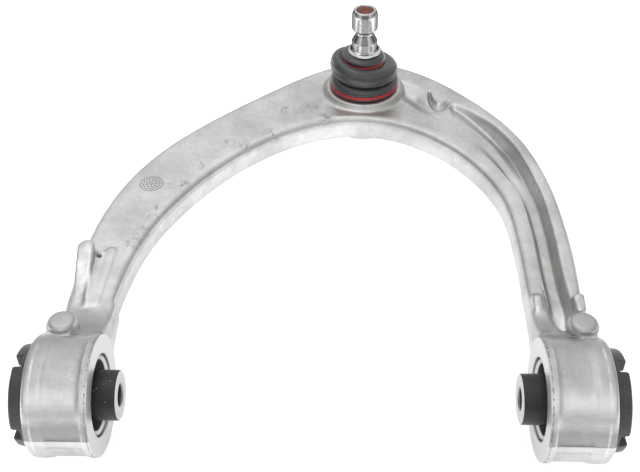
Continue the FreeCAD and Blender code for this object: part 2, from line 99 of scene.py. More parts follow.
# the channel's inner and outer lips and the edge of the arch's opening
CHANNEL_NEAR = [(134, 48), (133.4, 60), (133, 90), (133, 130), (131, 164), (122, 191), (107, 220),
                (90, 243), (76, 259)]
CHANNEL_FAR = [(149, 48), (148.5, 60), (147.5, 88), (148, 136), (145.5, 176), (137, 219), (123, 249),
               (107, 269), (95, 279)]
INNER_EDGE = [(-122.5, 50), (-122.5, 82), (-113, 128), (-87, 181), (-49, 226), (-15, 249), (22, 258),
              (54, 250), (84, 228), (108, 194), (119, 164), (122.5, 130), (122.5, 50)]
CHANNEL_END = (86, 267)      # where the channel fades out beside the ball joint
# the hook-shaped hollow beside the ball joint: its outer and inner edge, the ridge that ends it,
# the ground it lies in and the valley that leads to it
HOOK_OUTER = [(78.4, 297), (76.0, 290), (75.6, 282), (77.2, 273), (81.8, 267.6), (87.2, 269.0),
              (91.0, 274.0), (93.0, 281.4)]
HOOK_INNER = [(78.6, 297), (80.4, 289), (84.2, 281.0), (88.2, 281.4), (92.6, 283.8)]
HOOK_RIDGE = [(78, 265), (81, 262.5), (88, 263), (93.5, 269), (98.5, 263.5), (106, 253), (113, 241),
              (118, 231)]
HOOK_MIDDLE = (76, 277)
HOOK_GROUND = [(40, 318), (70, 302), (96, 300), (97.5, 280), (92, 274.5), (94, 262), (86, 240), (50, 262)]
VALLEY_START = (59.3, 294.1)
VALLEY_HEADING = (0.62, -0.78)
# a strip of the skin between the hook and the ball joint, painted darker as shade
SHADED_BAND = [(59.5, 292.5), (66, 284.5), (73.5, 275.0), (79, 262), (87, 250), (71, 265.5), (55.5, 283)]
# the gap between the ear and the pad beside it, and the line along its middle
CLEFT = [(-142.6, 106), (-136.2, 108), (-137.8, 60), (-141.6, 58)]
CLEFT_LINE = [(-140, 100), (-139, 62)]
# small swellings (+) and hollows (-) of the forging: x, y, z, reach and height
KNOBS = [(-147.0, 105.0, 18.0, 6.0, 0.7), (-146.0, 92.0, 13.0, 7.0, -0.5), (128.0, 69.5, 11.0, 4.5, 0.6),
         (152.0, 67.5, 13.5, 4.5, 0.8), (124.0, 34.0, 16.0, 6.0, 0.6), (131.0, 31.0, 17.0, 5.0, -0.8)]


# ---- mesh helpers --------------------------------------------------------------------
def add_object(name, data):
    made = bpy.data.objects.new(name, data)
    bpy.context.scene.collection.objects.link(made)
    return made


def remove_object(item):
    mesh = item.data
    bpy.data.objects.remove(item)
    bpy.data.meshes.remove(mesh)


def apply_modifiers(item):
    """Replace an object's mesh by its evaluated one."""
    graph = bpy.context.evaluated_depsgraph_get()
    mesh = bpy.data.meshes.new_from_object(item.evaluated_get(graph))
    old = item.data
    item.modifiers.clear()
    item.data = mesh
    bpy.data.meshes.remove(old)


def points_of(mesh):
    """A mesh's points in mm."""
    flat = np.empty(len(mesh.vertices) * 3, np.float32)
    mesh.vertices.foreach_get("co", flat)
    return flat.reshape(-1, 3).astype(float) / MM


def set_points(mesh, points):
    mesh.vertices.foreach_set("co", (points * MM).astype(np.float32).ravel())
    mesh.update()


def normals_of(mesh):
    flat = np.empty(len(mesh.vertices) * 3, np.float32)
    mesh.vertex_normals.foreach_get("vector", flat)
    return flat.reshape(-1, 3).astype(float)


def edges_of(mesh):
    flat = np.empty(len(mesh.edges) * 2, np.int32)
    mesh.edges.foreach_get("vertices", flat)
    return flat.reshape(-1, 2)


def cad_copy(name, *nodes):
    """A new closed mesh made from CAD nodes, with the doubled corners of their shading welded."""
    form = bmesh.new()
    for node in nodes:
        form.from_mesh(frame["nodes"][node].data)
    bmesh.ops.remove_doubles(form, verts=form.verts, dist=1e-6)
    mesh = bpy.data.meshes.new(name)
    form.to_mesh(mesh)
    form.free()
    return add_object(name, mesh)


def lathe_mesh(profile, centre, axis, steps=96):
    """A full turn of (radius, along) points about an axis; a closed loop unless it meets the axis."""
    axis = Vector(axis).normalized()
    side = axis.orthogonal().normalized()
    other = axis.cross(side)
    centre = Vector(centre)
    form = bmesh.new()
    rings = []
    for radius, along in profile:
        if radius < 1e-7:
            rings.append([form.verts.new(centre + axis * along)])
            continue
        ring = []
        for index in range(steps):
            turn = 2 * math.pi * index / steps
            ring.append(form.verts.new(centre + axis * along
                                       + (side * math.cos(turn) + other * math.sin(turn)) * radius))
        rings.append(ring)
    open_ended = len(rings[0]) == 1 and len(rings[-1]) == 1
    pairs = list(zip(rings, rings[1:])) if open_ended else list(zip(rings, rings[1:] + rings[:1]))
    for low, high in pairs:
        for index in range(steps):
            after = (index + 1) % steps
            if len(low) == 1 and len(high) == 1:
                continue
            if len(low) == 1:
                form.faces.new((low[0], high[after], high[index]))
            elif len(high) == 1:
                form.faces.new((low[index], low[after], high[0]))
            else:
                form.faces.new((low[index], low[after], high[after], high[index]))
    bmesh.ops.recalc_face_normals(form, faces=form.faces)
    mesh = bpy.data.meshes.new("lathe")
    form.to_mesh(mesh)
    form.free()
    return mesh


def rounded(profile, radius, steps=3, closed=True):
    """The same outline with every corner turned into a small arc."""
    made = []
    count = len(profile)
    for index, corner in enumerate(profile):
        if not closed and index in (0, count - 1):
            made.append(corner)
            continue
        here = Vector(corner)
        back = Vector(profile[index - 1]) - here
        ahead = Vector(profile[(index + 1) % count]) - here
        reach = min(radius, 0.45 * back.length, 0.45 * ahead.length)
        start = here + back.normalized() * reach
        end = here + ahead.normalized() * reach
        for step in range(steps + 1):
            t = step / steps
            made.append(tuple(start * (1 - t) ** 2 + here * 2 * t * (1 - t) + end * t ** 2))
    return made


def shade(item, degrees=38):
    """Smooth shading with real edges kept sharp."""
    item.data.polygons.foreach_set("use_smooth", [True] * len(item.data.polygons))
    item.data.set_sharp_from_angle(angle=math.radians(degrees))


def remesh(item, voxel):
    step = item.modifiers.new("Remesh", "REMESH")
    step.mode = "VOXEL"
    step.voxel_size = voxel
    apply_modifiers(item)


def carve(item, cutters):
    """Subtract closed meshes from the item, one after another."""
    for mesh in cutters:
        cutter = add_object("cutter", mesh)
        step = item.modifiers.new("Boolean", "BOOLEAN")
        step.operation = "DIFFERENCE"
        step.solver = "MANIFOLD"
        step.object = cutter
        apply_modifiers(item)
        remove_object(cutter)


def relax(item, rounds, weight=None, strength=0.5):
    """Even out a mesh: every point moves towards the mean of its neighbours, times its weight."""
    points = points_of(item.data)
    pairs = edges_of(item.data)
    ends = np.concatenate([pairs[:, 0], pairs[:, 1]])
    others = np.concatenate([pairs[:, 1], pairs[:, 0]])
    weight = np.ones(len(points)) if weight is None else weight
    moving = np.nonzero(weight > 0.001)[0]
    row = np.full(len(points), -1)
    row[moving] = np.arange(len(moving))
    used = row[ends] >= 0
    ends, others = row[ends[used]], others[used]
    count = np.bincount(ends, minlength=len(moving)).astype(float)
    step = strength * weight[moving][:, None]
    for _ in range(rounds):
        mean = np.stack([np.bincount(ends, points[others, k], len(moving)) for k in range(3)], 1)
        points[moving] += step * (mean / count[:, None] - points[moving])
    set_points(item.data, points)


def fade(value, low, high):
    """0 below low, 1 above high, smooth between; works on arrays."""
    t = np.clip((value - low) / (high - low), 0, 1)
    return t * t * (3 - 2 * t)


def inside_box(points):
    """The same points, none of them outside the CAD model's own box."""
    low, high = np.array(CAD_BOX) / MM
    return np.clip(points, low + 0.001, high - 0.001)


def lumps(points, size, seed):
    """Smooth seeded noise between -1 and 1, with features of about the given size."""
    cell = points / size
    low = np.floor(cell).astype(int)
    part = cell - low
    part = part * part * (3 - 2 * part)
    total = np.zeros(len(points))
    for corner in range(8):
        step = np.array([corner & 1, corner >> 1 & 1, corner >> 2 & 1])
        key = (low + step) * np.array([73856093, 19349663, 83492791])
        mixed = (key[:, 0] ^ key[:, 1] ^ key[:, 2]) + seed * 7919
        value = np.modf(np.abs(np.sin(mixed % 100003 * 12.9898)) * 43758.5453)[0] * 2 - 1
        total += value * np.prod(np.where(step, part, 1 - part), axis=1)
    return total


# ---- forging -------------------------------------------------------------------------
def scaled(pairs):
    return [(a * MM, b * MM) for a, b in pairs]


def bore_plug(side):
    """Fills one barrel's bore and adds stock on its inner face, to be machined off again."""
    return lathe_mesh(scaled([(0, FACE_X - 1.4), (BARREL_R - 0.5, FACE_X - 1.4),
                              (BARREL_R - 0.5, FACE_X + 1.5), (BORE_R + 0.6, FACE_X + 2.5),
                              (BORE_R + 0.6, OUTER_X), (0, OUTER_X)]), (0, 0, 0), (side, 0, 0))


def housing_plug():
    return lathe_mesh(scaled([(0, -20.3), (19.5, -20.3), (19.5, 20.4), (0, 20.4)]), BALL, UP)


def barrel_cutter(side):
    """Everything that machining takes off one barrel: the facing cut and the bore."""
    edge = 0.5
    return lathe_mesh(scaled([(0, FACE_X - 4), (BARREL_R + 1.5, FACE_X - 4), (BARREL_R + 1.5, FACE_X),
                              (BORE_R + edge, FACE_X), (BORE_R, FACE_X + edge), (BORE_R, OUTER_X - edge),
                              (BORE_R + edge, OUTER_X), (BARREL_R + 3, OUTER_X),
                              (BARREL_R + 3, OUTER_X + 5), (0, OUTER_X + 5)]), (0, 0, 0), (side, 0, 0), 192)


def clamp_plug(x, y):
    """Stock over one clamp boss, to be trimmed to its clean round top."""
    return lathe_mesh(scaled([(0, 20), (8.9, 20), (8.9, 29.5), (0, 29.5)]), (x * MM, y * MM, 0), UP)


def clamp_cutter(x, y):
    """Leaves a slightly domed round top with a soft edge on one clamp boss."""
    shape = [(0, CLAMP_TOP), (4.0, CLAMP_TOP - 0.06), (5.9, CLAMP_TOP - 0.22), (6.5, CLAMP_TOP - 0.45),
             (7.1, CLAMP_TOP - 0.9), (7.7, CLAMP_TOP - 1.6), (8.1, CLAMP_TOP - 2.5), (8.3, CLAMP_TOP - 3.6),
             (13, CLAMP_TOP - 3.4), (13, 36), (0, 36)]
    return lathe_mesh(scaled(shape), (x * MM, y * MM, 0), UP)


def housing_cutters():
    """Facing cut over the boss, the ball's bore from below, and the flat of the underside."""
    top = scaled([(21.5, 14.4), (21.9, 14.0), (30.6, 14.0), (33.0, 16.5), (33.0, 26), (20.0, 26),
                  (20.0, 21.4), (20.9, 20.5), (21.5, 19.9)])
    crown = scaled([(0, 20.5), (21.2, 20.5), (21.2, 26), (0, 26)])
    bore = scaled([(0, 24), (18.9, 24), (18.9, 20.5), (13.4, 9.5), (17, 9.5), (17, -16), (18.2, -16),
                   (18.2, -18.2), (16.2, -19.0), (16.2, -22), (0, -22)])
    floor = scaled([(0, -26), (30, -26), (30, -HOUSING_FLOOR), (17.2, -HOUSING_FLOOR), (0, -HOUSING_FLOOR)])
    return [lathe_mesh(shape, BALL, UP, 160) for shape in (crown, top, bore, floor)]


def plan_gap(x, y, place):
    """Plan distance from every point to a place given in mm."""
    return np.hypot(x - place[0], y - place[1])


def ball_gap(x, y):
    """Plan distance from every point to the ball joint's axis."""
    return np.hypot(x - BALL.x / MM, y - BALL.y / MM)


def gap_to_line(x, y, line):
    """Plan distance from every point to a bent line given in mm."""
    best = np.full(len(x), 1e9)
    for (ax, ay), (bx, by) in zip(line, line[1:]):
        dx, dy = bx - ax, by - ay
        t = np.clip(((x - ax) * dx + (y - ay) * dy) / (dx * dx + dy * dy), 0, 1)
        best = np.minimum(best, np.hypot(x - ax - t * dx, y - ay - t * dy))
    return best


def smooth_line(line, steps=8, end_pull=0.5):
    """More points along a bent line, on a smooth curve through the given ones."""
    made = []
    last = len(line) - 1
    for index in range(last):
        a, b = np.array(line[index]), np.array(line[index + 1])
        out = (b - line[index - 1]) / 2 if index > 0 else (b - a) * end_pull
        into = (line[index + 2] - a) / 2 if index + 1 < last else (b - a) * end_pull
        for step in range(steps):
            t = step / steps
            made.append(a * (2 * t ** 3 - 3 * t ** 2 + 1) + out * (t ** 3 - 2 * t ** 2 + t)
                        + b * (3 * t ** 2 - 2 * t ** 3) + into * (t ** 3 - t ** 2))
    made.append(np.array(line[-1]))
    return made


def inside_outline(x, y, outline):
    """True where a plan point lies in a closed outline given in mm."""
    found = np.zeros(len(x), bool)
    for (ax, ay), (bx, by) in zip(outline, outline[1:] + outline[:1]):
        crosses = (ay > y) != (by > y)
        with np.errstate(divide="ignore", invalid="ignore"):
            found ^= crosses & (x < (bx - ax) * (y - ay) / (by - ay) + ax)
    return found


def shape_channel(arm):
    """Gives the channel its forged section: a soft valley, one-sided where it fades out at the top."""
    points = points_of(arm.data)
    near, far = smooth_line(CHANNEL_NEAR), smooth_line(CHANNEL_FAR)
    held = (points[:, 0] > 60) & (points[:, 1] > 48) & (points[:, 2] > -4)
    chosen = np.nonzero(held)[0]
    chosen = chosen[inside_outline(points[chosen, 0], points[chosen, 1], near + far[::-1])]
    x, y, z = points[chosen].T
    to_near, to_far = gap_to_line(x, y, near), gap_to_line(x, y, far)
    across = to_near / (to_near + to_far)
    run = plan_gap(x, y, CHANNEL_END)
    upper = 1 - fade(run, 35, 105)
    gentle = 0.20 * np.clip(across / 0.6, 0, 1) + 0.80 * fade(across, 0.48, 0.84)
    inner = (1 - upper) * fade(across, 0.0, 0.30) + upper * gentle
    outer = 1 - fade(across, 0.70 + 0.16 * upper, 1.03)
    depth = (8.4 + 1.2 * upper) * inner * outer * fade(run, -10, 56) ** 0.75
    depth *= 1 - 0.55 * (1 - fade(y, 40, 75))
    keep = fade(y, 50, 72)
    target = WEB_TOP - depth
    points[chosen, 2] = z + (target - z) * keep
    set_points(arm.data, points)


def shape_hook(arm):
    """The shallow valley beside the ball housing, the hook-shaped hollow at its end and their ridge."""
    points = points_of(arm.data)
    x, y, z = points.T
    near = (z > 2.5) & (y > 225) & (x > 46) & (x < 125)
    chosen = np.nonzero(near & (ball_gap(x, y) > 31))[0]
    x, y, z = points[chosen].T
    dx, dy = x - VALLEY_START[0], y - VALLEY_START[1]
    along = dx * VALLEY_HEADING[0] + dy * VALLEY_HEADING[1]
    off = dy * VALLEY_HEADING[0] - dx * VALLEY_HEADING[1]
    valley = (2.0 + 2.0 * fade(along, -6, 16)) * (1 - fade(along, 24, 40))
    valley *= np.where(off < 0, np.clip(1 + off / 8.5, 0, 1), np.clip(1 - off / 15, 0, 1))
    outer, inner = smooth_line(HOOK_OUTER), smooth_line(HOOK_INNER)
    to_outer, to_inner = gap_to_line(x, y, outer), gap_to_line(x, y, inner)
    pit = inside_outline(x, y, outer + inner[::-1])
    across = to_inner / (to_inner + to_outer + 1e-9)
    valley *= np.where(pit, 0, np.clip(to_outer / 8, 0, 1))
    hollow = np.where(pit, 3.6 * fade(across, 0.0, 0.62) * (1 - fade(across, 0.60, 1.0)), 0)
    ridge = 0.5 * np.exp(-(gap_to_line(x, y, smooth_line(HOOK_RIDGE)) / 2.6) ** 2)
    ridge *= 1 - fade(x, 100, 116)
    target = WEB_TOP - valley - hollow
    points[chosen, 2] = np.where(inside_outline(x, y, HOOK_GROUND), target, z) + ridge
    set_points(arm.data, points)


def fill_cleft(arm):
    """The gap between the ear and the pad beside it is filled by a soft slope."""
    points = points_of(arm.data)
    x, y, z = points.T
    chosen = np.nonzero((z > 8.4) & (y < 120) & (x < -120))[0]
    x, y, z = points[chosen].T
    filled = inside_outline(x, y, CLEFT)
    side = np.clip((x - CLEFT[0][0]) / 6, 0, 1)
    points[chosen, 2] = np.where(filled, np.maximum(z, 10.4 + 2.6 * (1 - side) ** 2), z)
    set_points(arm.data, points)


def arm_blank():
    """The forging before machining: one evenly meshed skin with rounded hollows and edges."""
    arm = cad_copy("arm", "arm_forging")
    form = bmesh.new()
    form.from_mesh(arm.data)
    plugs = [bore_plug(-1), bore_plug(1), housing_plug()] + [clamp_plug(px, py) for px, py in CLAMP_BOSSES]
    for plug in plugs:
        form.from_mesh(plug)
        bpy.data.meshes.remove(plug)
    form.to_mesh(arm.data)
    form.free()
    remesh(arm, 0.7 * MM)
    x, y, z = points_of(arm.data).T
    barrel = 1 - fade(y, 12, 24)
    post = np.zeros(len(x))
    for place in CLAMP_BOSSES:
        near = 1 - fade(plan_gap(x, y, place), 9, 10.5)
        post = np.maximum(post, near * fade(z, 16, 19))
    relax(arm, 10, 1 - 0.5 * np.maximum(barrel, post))
    shape_channel(arm)
    shape_hook(arm)
    fill_cleft(arm)
    lips = [gap_to_line(x, y, smooth_line(line, 3)) for line in (CHANNEL_NEAR, CHANNEL_FAR)]
    channel = 1 - fade(np.minimum(*lips), 2, 6)
    channel *= fade(z, -4, -2) * fade(y, 60, 80)
    relax(arm, 8, channel)
    from_ball = ball_gap(x, y)
    root = fade(y, 20, 30) * (1 - fade(y, 52, 66)) * (1 - post)
    boss = 0.4 * fade(from_ball, 28.5, 30) * (1 - fade(from_ball, 36, 42))
    rim = 1 - fade(gap_to_line(x, y, smooth_line(INNER_EDGE, 4)), 4.5, 9)
    rim *= fade(z, 0, 4) * fade(y, 55, 75)
    seam = (1 - fade(y, -30, -27)) * (1 - fade(np.abs(z), 4, 7))
    waist = barrel * (1 - seam) * fade(z, -5, 15)
    relax(arm, 30, np.maximum.reduce([root, boss, rim, 0.12 * seam, 0.12 * waist]))
    hook = 1 - fade(plan_gap(x, y, HOOK_MIDDLE), 26, 32)
    fill = 1 - fade(gap_to_line(x, y, CLEFT_LINE), 3, 5)
    relax(arm, 9, np.maximum(hook, fill) * fade(z, 0, 3))
    return arm


def forged_surface(arm):
    """Hammered unevenness, the trimmed flash line and small dents, all as real relief."""
    points = points_of(arm.data)
    normals = normals_of(arm.data)
    y, z = points[:, 1], points[:, 2]
    height = 0.17 * lumps(points, 33, 1) + 0.08 * lumps(points, 12, 2)
    height += 0.045 * lumps(points, 4.2, 3) + 0.022 * lumps(points, 1.9, 4)
    plate_wall = fade(y, 40, 60) * (1 - fade(np.abs(normals[:, 2]), 0.25, 0.45))
    land = 1 - fade(np.abs(z + 0.35 * lumps(points, 18, 6)), 3.3, 3.9)
    height += 0.12 * land * plate_wall
    for px, py, pz, reach, rise in KNOBS:
        gap = np.linalg.norm(points - (px, py, pz), axis=1)
        height += rise * (1 - fade(gap, 0.15 * reach, reach))
    random = np.random.default_rng(11)
    for _ in range(60):
        spot = np.array([random.uniform(-150, 150), random.uniform(60, 330), 9.5])
        reach = random.uniform(0.8, 2.6)
        depth = random.uniform(0.10, 0.30)
        gap = np.linalg.norm(points - spot, axis=1)
        height -= depth * (1 - fade(gap, 0.2 * reach, reach))
    set_points(arm.data, inside_box(points + normals * height[:, None]))


def store(item, name, values):
    """Keeps one value for each point, for a material to read."""
    layer = item.data.attributes.new(name, "FLOAT", "POINT")
    layer.data.foreach_set("value", values.astype(np.float32))


def store_tone(item):
    """Writes the painted shade (up to 1) and painted highlight (below 0) of the skin, place by place."""
    x, y, z = points_of(item.data).T
    # painted shade: along the inner rim, on the housing's boss, low on the barrels' fronts, on their
    # crowns, on the clamp discs, in the strip and hook hollow beside the ball joint, at the legs' roots and
    # on the bow
    rim = 1 - fade(np.abs(gap_to_line(x, y, smooth_line(INNER_EDGE, 4)) - 1.2), 1.0, 3.6)
    rim *= fade(z, 2, 6) * fade(y, 60, 90)
    housing = (1 - fade(ball_gap(x, y), 31, 34)) * fade(z, 9, 10.5)
    lower = fade(-y, 20, 28) * fade(z, 2.4, 3.2) * (1 - fade(z, 10, 18))
    crown = (1 - fade(y, 12, 22)) * fade(z, 24, 33)
    disc = np.zeros(len(x))
    for place in CLAMP_BOSSES:
        near = 1 - fade(plan_gap(x, y, place), 10, 12)
        disc = np.maximum(disc, near * fade(z, 26.5, 27.5))
    above = fade(z, 0, 3)
    band = inside_outline(x, y, SHADED_BAND) * above
    band = band * fade(gap_to_line(x, y, SHADED_BAND + SHADED_BAND[:1]), 0, 1.2)
    pit = inside_outline(x, y, smooth_line(HOOK_OUTER) + smooth_line(HOOK_INNER)[::-1])
    pit = pit * above * (1 - 0.6 * fade(x, 77, 86))
    pit = pit * fade(gap_to_line(x, y, HOOK_OUTER), 0, 1.5)
    root = (1 - fade(y, 45, 60)) * fade(y, 22, 28) * above
    bow = fade(x, 55, 75) * fade(y, 190, 215) * above
    value = np.maximum.reduce([0.35 * rim, 0.4 * housing, 1.2 * lower, 0.75 * crown, 0.7 * disc, 0.7 * band,
                               1.0 * pit, 0.4 * root, 0.25 * bow])
    # painted highlights: a light band across each barrel's front and a painted reflection of the floor
    # under its seam
    shine = fade(-y, 8, 20) * fade(z, 11, 20)
    foot = (1 - fade(y, -26, -22)) * (1 - fade(z, 1.6, 2.2))
    value -= np.maximum(0.55 * shine, 0.10 * foot)
    store(item, "painted_shading", value)


def store_hollows(item):
    """Writes how hollow (1) or how proud (0) the skin is at each point, for the material's painted shade
    and oxide in the hollows and its paler proud places.
    """
    before = points_of(item.data)
    normals = normals_of(item.data)
    relax(item, 16, None, 0.6)
    after = points_of(item.data)
    set_points(item.data, before)
    depth = ((after - before) * normals).sum(1)
    store(item, "hollow", np.clip(0.5 + 0.8 * depth, 0, 1))


def is_machined(point):
    """True on the faced and bored surfaces of the barrels and of the ball housing."""
    flat = 0.03
    x, y, z = point / MM
    across = math.hypot(y, z)
    if across < BARREL_R + 2 and min(abs(abs(x) - FACE_X), abs(abs(x) - OUTER_X)) < flat:
        return True
    if across < BORE_R + 0.7 and abs(x) > 100:
        return True
    from_ball = ball_gap(x, y)
    return from_ball < 21.7 or (abs(z + HOUSING_FLOOR) < flat and from_ball < 31)


def make_arm():
    arm = arm_blank()
    forged_surface(arm)
    step = arm.modifiers.new("Decimate", "DECIMATE")
    step.ratio = 0.30
    apply_modifiers(arm)
    store_hollows(arm)
    ear_drill = lathe_mesh(scaled([(0, 9.0), (1.15, 9.4), (1.15, 24), (0, 24)]),
                           (EAR_HOLE[0] * MM, EAR_HOLE[1] * MM, 0), UP, 24)
    carve(arm, [barrel_cutter(-1), barrel_cutter(1)] + housing_cutters()
          + [clamp_cutter(x, y) for x, y in CLAMP_BOSSES] + [ear_drill])
    store_tone(arm)
    shade(arm, 40)
    arm.data.materials.clear()
    arm.data.materials.append(forged_aluminium())
    arm.data.materials.append(machined_aluminium())
    machined = [int(is_machined(face.center)) for face in arm.data.polygons]
    arm.data.polygons.foreach_set("material_index", machined)
    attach(arm, "arm")
    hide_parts("arm_forging")


# ---- ball joint ----------------------------------------------------------------------
# the height in mm where the boot is split into its lower and upper piece
BOOT_SPLIT = 29.6
# the boot's section, outside and inside, below and above the split: radius and height in mm
BOOT_LOW_OUT = [(24.2, 14.3), (25.2, 14.6), (25.3, 15.5), (24.7, 16.1), (24.6, 17.4), (24.7, 18.7),
                (25.9, 19.0), (26.1, 20.0), (25.3, 21.6), (23.6, 23.1), (21.2, 24.1), (21.3, 24.8),
                (23.5, 25.6), (25.0, 27.3), (25.45, BOOT_SPLIT)]
BOOT_LOW_IN = [(23.9, BOOT_SPLIT), (23.3, 28.2), (21.6, 26.8), (19.5, 25.4), (19.3, 23.9), (21.4, 22.4),
               (22.2, 21.2), (21.8, 20.7), (21.8, 14.6), (22.2, 14.3)]
BOOT_HIGH_OUT = [(25.45, BOOT_SPLIT), (25.3, 31.8), (24.2, 34.3), (21.8, 36.6), (18.8, 37.5), (16.6, 37.2),
                 (15.0, 36.3), (14.1, 36.4), (13.95, 37.4), (14.2, 38.6), (15.6, 39.1), (16.3, 40.2),
                 (16.0, 41.4), (14.5, 42.6), (12.9, 43.2), (12.4, 43.3)]
BOOT_HIGH_IN = [(9.9, 43.3), (9.2, 42.9), (9.2, 36.0), (11.6, 34.2), (15.6, 34.2), (19.4, 34.8),
                (21.9, 33.3), (23.5, 31.4), (23.9, BOOT_SPLIT)]


def boot_piece(name, curves):
    """One half of the boot, leaning and creased as moulded rubber is."""
    profile = scaled([point for curve in curves for point in smooth_line(curve, 5, 0.6)])
    piece = add_object(name, lathe_mesh(profile, STUD_FOOT, UP, 144))
    points = points_of(piece.data)
    normals = normals_of(piece.data)
    x, y, z = points.T
    dx, dy = x - BALL.x / MM, y - BALL.y / MM
    turn = np.arctan2(dy, dx)
    across = ball_gap(x, y)
    free = fade(z, 20.5, 26) * fade(across, 15.0, 18)
    points[:, 2] += free * (2.1 * np.cos(turn - 3.5) + 0.45 * np.cos(2 * turn + 0.6))
    points[:, 2] -= 0.055 * fade(z, 30, 36) * dx * fade(across, 9.3, 12)
    points[:, 0] -= 0.8 * fade(z, 38.0, 39.0) * fade(across, 12.6, 14.5)
    swell = free * (0.30 * np.cos(2 * turn - 0.8) + 0.22 * lumps(points, 9, 21))
    points[:, 0] += np.cos(turn) * swell
    points[:, 1] += np.sin(turn) * swell
    points += normals * (0.03 * lumps(points, 2.4, 22))[:, None]
    set_points(piece.data, points)
    shade(piece, 60)
    piece.data.materials.append(boot_rubber())
    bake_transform(piece)
    return piece


def make_boot():
    low = boot_piece("boot_lower", (BOOT_LOW_OUT, BOOT_LOW_IN))
    high = boot_piece("boot_upper", (BOOT_HIGH_OUT, BOOT_HIGH_IN))
    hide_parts("dust_boot")
    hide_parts("dust_boot")


def make_lower_ring():
    """Two turns of coated flat wire, side by side."""
    profile = [(24.75, 16.25), (26.2, 16.25), (26.2, 17.35), (25.95, 17.42), (26.2, 17.5), (26.2, 18.6),
               (24.75, 18.6)]
    ring = add_object("lower_ring", lathe_mesh(rounded(scaled(profile), 0.3 * MM), STUD_FOOT, UP, 144))
    shade(ring, 50)
    ring.data.materials.append(clamp_red())
    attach(ring, "arm")
    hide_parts("boot_lower_ring")


# the stud's section: its ball, shank, flange, pin with the pinch bolt's groove, and top recess
STUD = [(0, -13.5), (4.0, -13.0), (8.5, -10.5), (12.0, -6.2), (13.5, 0), (12.6, 4.9), (10.2, 8.8),
        (7.9, 11.0), (7.2, 13.5), (7.2, 19.5), (7.9, 24.0), (8.9, 31.0), (8.9, 43.5), (8.9, 43.6),
        (11.8, 43.6), (12.3, 44.1), (12.3, 45.2), (11.9, 45.8), (10.4, 46.1), (9.6, 46.7), (9.5, 47.2),
        (9.5, 53.0), (9.2, 53.7), (6.6, 58.4), (6.3, 59.2), (6.3, 60.4), (6.6, 61.1), (8.3, 62.3),
        (8.9, 62.7), (9.4, 63.1), (9.5, 63.6), (9.5, 74.0), (9.3, 75.0), (8.5, 77.2), (8.1, 77.8),
        (7.4, 78.0), (6.5, 77.95), (6.0, 77.5), (5.6, 77.1), (4.3, 76.9), (3.7, 76.3), (3.4, 75.8),
        (0, 75.6)]


def make_stud():
    section = rounded(scaled(STUD), 0.35 * MM, closed=False)
    stud = add_object("stud", lathe_mesh(section, STUD_FOOT, UP, 128))
    shade(stud, 28)
    stud.data.materials.append(stud_steel())
    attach(stud, "stud")
    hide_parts("ball_stud")


# ---- bushes --------------------------------------------------------------------------
def make_sleeve(side, name):
    """Inner sleeve: coated outside, bare turned ends and bore."""
    profile = [(7.0, 109.9), (13.3, 109.9), (13.95, 110.5), (13.95, 162.4), (13.3, 163.0), (7.0, 163.0),
               (6.1, 162.1), (6.1, 110.8)]
    section = rounded(scaled(profile), 0.22 * MM)
    sleeve = add_object(name + "_sleeve", lathe_mesh(section, (0, 0, 0), (side, 0, 0), 128))
    shade(sleeve, 30)
    sleeve.data.materials.append(sleeve_black())
    sleeve.data.materials.append(sleeve_bare())
    bare = [int(math.hypot(face.center.y, face.center.z) < 13.55 * MM) for face in sleeve.data.polygons]
    sleeve.data.polygons.foreach_set("material_index", bare)
    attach(sleeve, name + "_sleeve")
    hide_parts(name + "_bush_sleeve")


def make_end_stop(name):
    """Castellated rubber stop with the soft corners of a moulding."""
    stop = cad_copy(name + "_stop", name + "_bush_end_stop", name + "_bush_stop_plate")
    remesh(stop, 0.42 * MM)
    relax(stop, 7)
    points = points_of(stop.data)
    height = 0.10 * lumps(points, 7, 31) + 0.03 * lumps(points, 1.6, 32)
    set_points(stop.data, inside_box(points + normals_of(stop.data) * height[:, None]))
    shade(stop, 50)
    stop.data.materials.clear()
    stop.data.materials.append(stop_rubber())
    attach(stop, "arm")
    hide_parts(name + "_bush_end_stop", name + "_bush_stop_plate")


